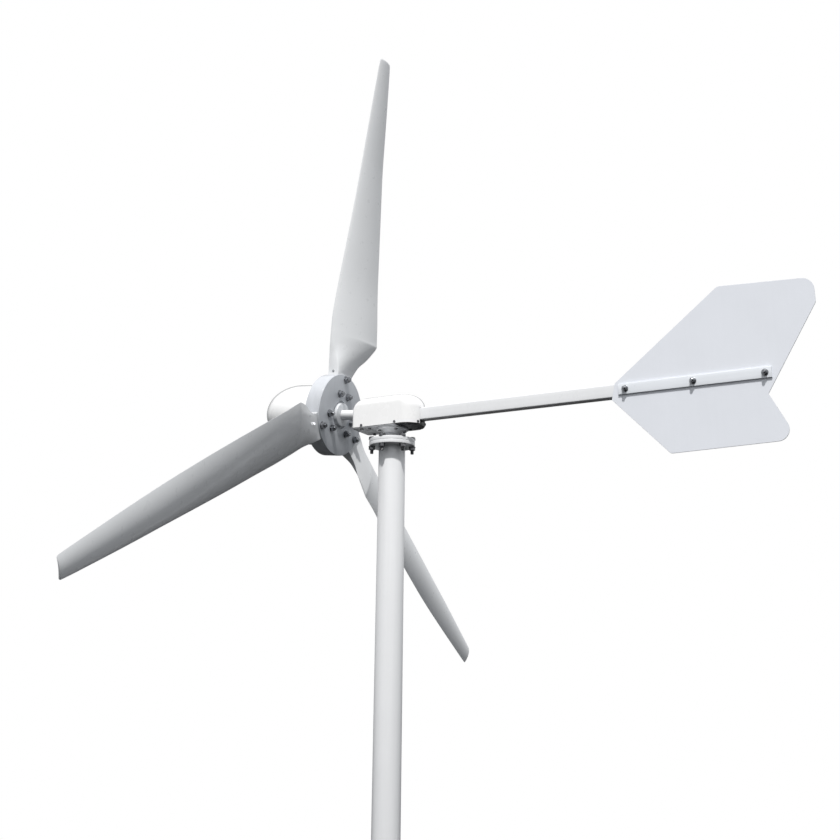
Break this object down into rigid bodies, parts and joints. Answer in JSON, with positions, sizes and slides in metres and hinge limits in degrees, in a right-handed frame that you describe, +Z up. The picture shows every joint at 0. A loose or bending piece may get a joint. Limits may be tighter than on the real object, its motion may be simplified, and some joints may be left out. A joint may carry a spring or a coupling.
{
  "type": "small horizontal-axis wind turbine",
  "caption": "Small upwind horizontal-axis wind turbine with tapered twisted blades, nose cone, boxed nacelle, tail boom and vane, free to yaw on a flanged mast section.",
  "frame": {"origin": "centre of the underside of the mast base flange, on the yaw axis", "axes": "+Z up the mast, +X towards the tail vane, so the rotor faces -X; the clamp bar is on the -Y side of the vane"},
  "size_m": [2.3534, 2.9324, 3.4674],
  "materials": {
    "grey_paint": "light grey satin paint",
    "white_paint": "white satin paint",
    "white_gelcoat": "white glass-fibre gelcoat, semi-gloss",
    "dark_fastener": "blackened steel",
    "zinc_fastener": "bright zinc-plated steel",
    "dark_paint": "dark grey paint",
    "bearing_steel": "ground bearing steel",
    "plain_steel": "machined steel",
    "cast_aluminium": "cast and turned aluminium",
    "copper": "copper",
    "black_plastic": "black insulating plastic",
    "black_rubber": "black rubber",
    "magnet": "sintered magnet",
    "carbon": "carbon brush"
  },
  "bodies": {
    "mast": {"mast_base_flange": "grey_paint", "mast_tube": "grey_paint", "mast_top_flange": "grey_paint", "flange_bolts": "dark_fastener", "flange_nuts": "dark_fastener", "flange_washers": "dark_fastener", "yaw_housing": "grey_paint", "yaw_outer_races": "bearing_steel", "yaw_balls": "bearing_steel", "yaw_outer_spacer": "plain_steel", "yaw_circlip": "dark_fastener", "brush_holder": "black_plastic", "brushes": "carbon", "brush_springs": "bearing_steel", "mast_cable": "black_rubber"},
    "nacelle": {"yaw_tube": "grey_paint", "yaw_inner_races": "bearing_steel", "yaw_inner_spacer": "plain_steel", "yaw_locknut": "dark_fastener", "yaw_seal": "black_rubber", "slip_ring_drum": "black_plastic", "slip_rings": "copper", "base_tray": "grey_paint", "tray_bolts": "dark_fastener", "tray_nuts": "dark_fastener", "nacelle_cover": "white_paint", "cover_screws": "dark_fastener", "generator_housing": "cast_aluminium", "front_shield": "cast_aluminium", "rear_shield": "cast_aluminium", "tie_rods": "dark_fastener", "stator_core": "plain_steel", "stator_windings": "copper", "shaft_outer_races": "bearing_steel", "shaft_balls": "bearing_steel", "shaft_seal": "black_rubber", "generator_cradle": "dark_paint", "phase_cable": "black_rubber", "boom": "white_paint", "boom_bracket": "dark_paint", "boom_bolts": "zinc_fastener", "boom_nuts": "zinc_fastener", "vane": "white_paint", "vane_clamp": "white_paint"},
    "rotor": {"main_shaft": "white_paint", "shaft_inner_races": "bearing_steel", "rotor_core": "plain_steel", "magnets": "magnet", "hub_boss": "grey_paint", "boss_screws": "dark_fastener", "shaft_key": "plain_steel", "hub_nut": "dark_fastener", "hub_disc": "grey_paint", "hub_drum": "grey_paint", "blade_1": "white_gelcoat", "blade_2": "white_gelcoat", "blade_3": "white_gelcoat", "blade_bolts": "zinc_fastener", "blade_nuts": "zinc_fastener", "nose_cone": "white_gelcoat"}
  },
  "joints": [
    {"name": "yaw", "type": "hinge", "parent": "mast", "child": "nacelle", "pos_m": [0, 0, 1.7], "axis": [0, 0, 1], "continuous": true},
    {"name": "rotor_spin", "type": "hinge", "parent": "nacelle", "child": "rotor", "pos_m": [-0.25, 0, 1.8016], "axis": [0.9942, 0, -0.108], "continuous": true}
  ]
}
